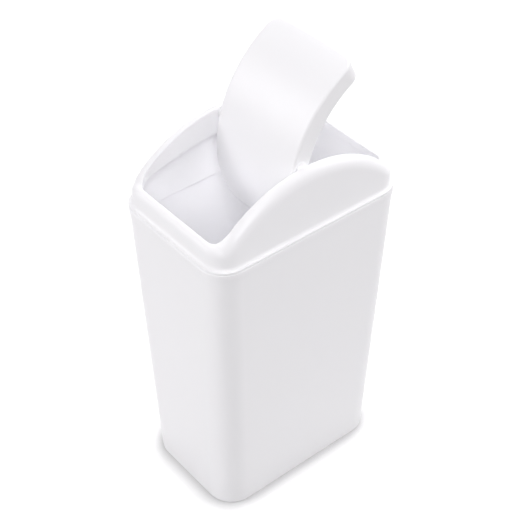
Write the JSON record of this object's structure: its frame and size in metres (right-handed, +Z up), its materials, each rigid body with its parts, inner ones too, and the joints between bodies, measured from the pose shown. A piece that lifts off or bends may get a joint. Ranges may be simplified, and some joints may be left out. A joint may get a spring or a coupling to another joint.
{
  "type": "countertop trash can with swing lid",
  "caption": "Small rectangular countertop bin with tapered walls, a lift-off arched lid frame and a swing flap on side pins, shown part way open.",
  "frame": {"origin": "middle of the base, on the surface that the bin stands on", "axes": "+X along the bin's length, towards the flap's raised end; +Y across its width, towards the side that the picture doesn't show; +Z up"},
  "size_m": [0.1292, 0.0886, 0.2726],
  "materials": {
    "bin_plastic": "satin",
    "frame_plastic": "satin",
    "flap_plastic": "satin"
  },
  "bodies": {
    "bin": {"bin_body": "bin_plastic"},
    "lid": {"lid_frame": "frame_plastic"},
    "flap": {"swing_flap": "flap_plastic"}
  },
  "joints": [
    {"name": "lid_lift", "type": "slide", "parent": "bin", "child": "lid", "axis": [0, 0, 1], "range_m": [0, 0.08]},
    {"name": "flap_swing", "type": "hinge", "parent": "lid", "child": "flap", "pos_m": [0, 0, 0.2235], "axis": [0, -1, 0], "range_deg": [-165.5, 14.5]}
  ]
}
